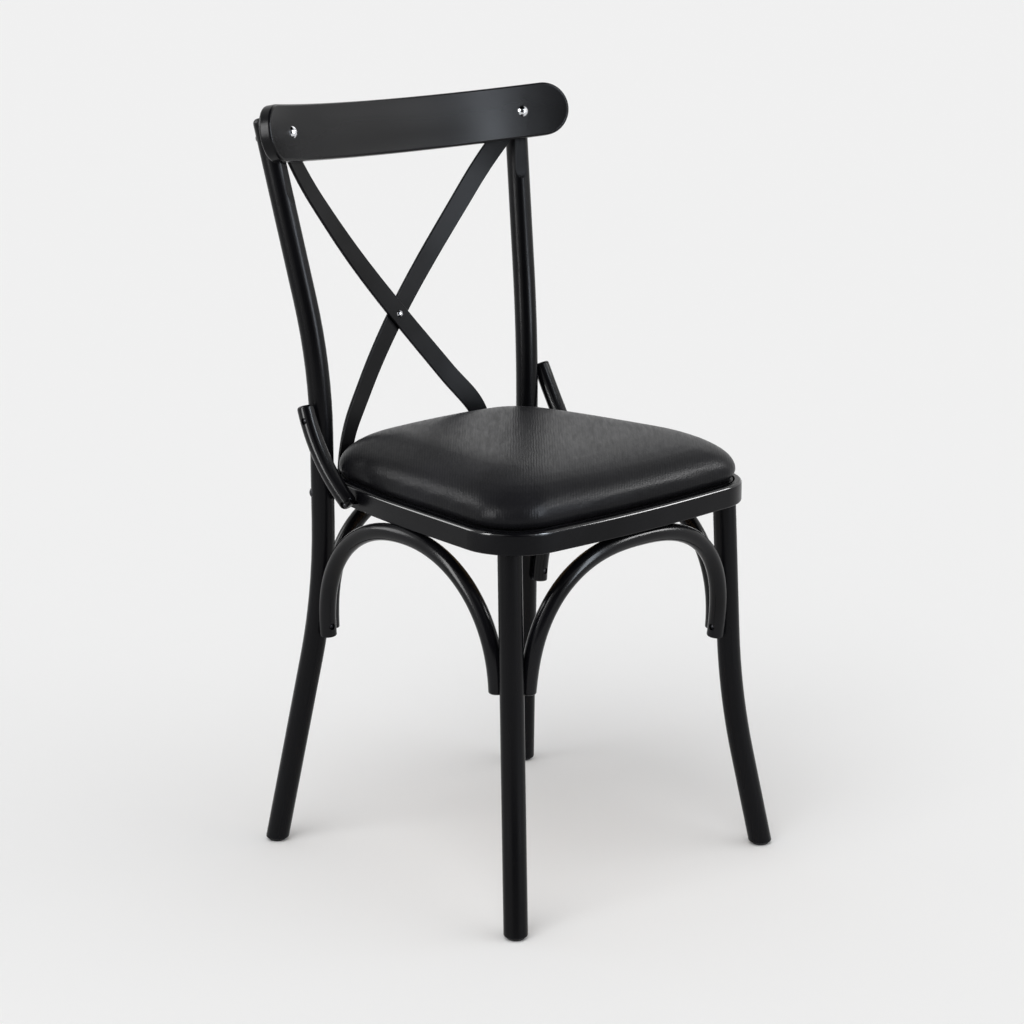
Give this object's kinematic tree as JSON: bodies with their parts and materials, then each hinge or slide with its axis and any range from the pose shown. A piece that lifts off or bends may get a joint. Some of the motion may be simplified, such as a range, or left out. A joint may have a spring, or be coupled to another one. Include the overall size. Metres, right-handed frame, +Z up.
{
  "type": "restaurant chair",
  "caption": "Black bentwood side chair with a curved top rail, crossed back straps, a round-cornered padded vinyl seat, hip braces and bent arches between flared legs.",
  "frame": {"origin": "centre of the chair's bounding box on the floor plane", "axes": "+Z up, the sitter faces -Y, +X to the right of a person who looks at the chair's front"},
  "size_m": [0.4756, 0.4553, 0.8785],
  "materials": {
    "rods": "black satin lacquer on bent round rods",
    "rail": "black satin lacquer",
    "ring": "black satin lacquer",
    "board": "raw plywood",
    "foam": "upholstery foam",
    "cover": "black embossed vinyl",
    "straps": "black satin lacquer on flat strap",
    "glides": "black plastic",
    "bright_heads": "bright plated",
    "dark_screws": "blackened"
  },
  "bodies": {
    "root": {"arch_front": "rods", "arch_front_screw_a": "dark_screws", "arch_front_screw_b": "dark_screws", "arch_front_screw_top": "dark_screws", "arch_left": "rods", "arch_left_screw_a": "dark_screws", "arch_left_screw_b": "dark_screws", "arch_left_screw_top": "dark_screws", "arch_rear": "rods", "arch_rear_screw_a": "dark_screws", "arch_rear_screw_b": "dark_screws", "arch_rear_screw_top": "dark_screws", "arch_right": "rods", "arch_right_screw_a": "dark_screws", "arch_right_screw_b": "dark_screws", "arch_right_screw_top": "dark_screws", "brace_left": "rods", "brace_left_screw_high": "dark_screws", "brace_left_screw_low": "dark_screws", "brace_right": "rods", "brace_right_screw_high": "dark_screws", "brace_right_screw_low": "dark_screws", "cross_nut": "bright_heads", "cross_screw": "bright_heads", "front_leg_left": "rods", "front_leg_right": "rods", "glide_front_left": "glides", "glide_front_right": "glides", "glide_rear_left": "glides", "glide_rear_right": "glides", "leg_bolt_left": "dark_screws", "leg_bolt_right": "dark_screws", "rail_bolt_left": "bright_heads", "rail_bolt_right": "bright_heads", "rail_nut_left": "dark_screws", "rail_nut_right": "dark_screws", "rear_leg_left": "rods", "rear_leg_right": "rods", "seat_board": "board", "seat_cover": "cover", "seat_foam": "foam", "seat_ring": "ring", "seat_screw_front_left": "dark_screws", "seat_screw_front_right": "dark_screws", "seat_screw_rear_left": "dark_screws", "seat_screw_rear_right": "dark_screws", "strap_front": "straps", "strap_front_screw": "dark_screws", "strap_rear": "straps", "strap_rear_screw": "dark_screws", "top_rail": "rail"}
  },
  "joints": []
}
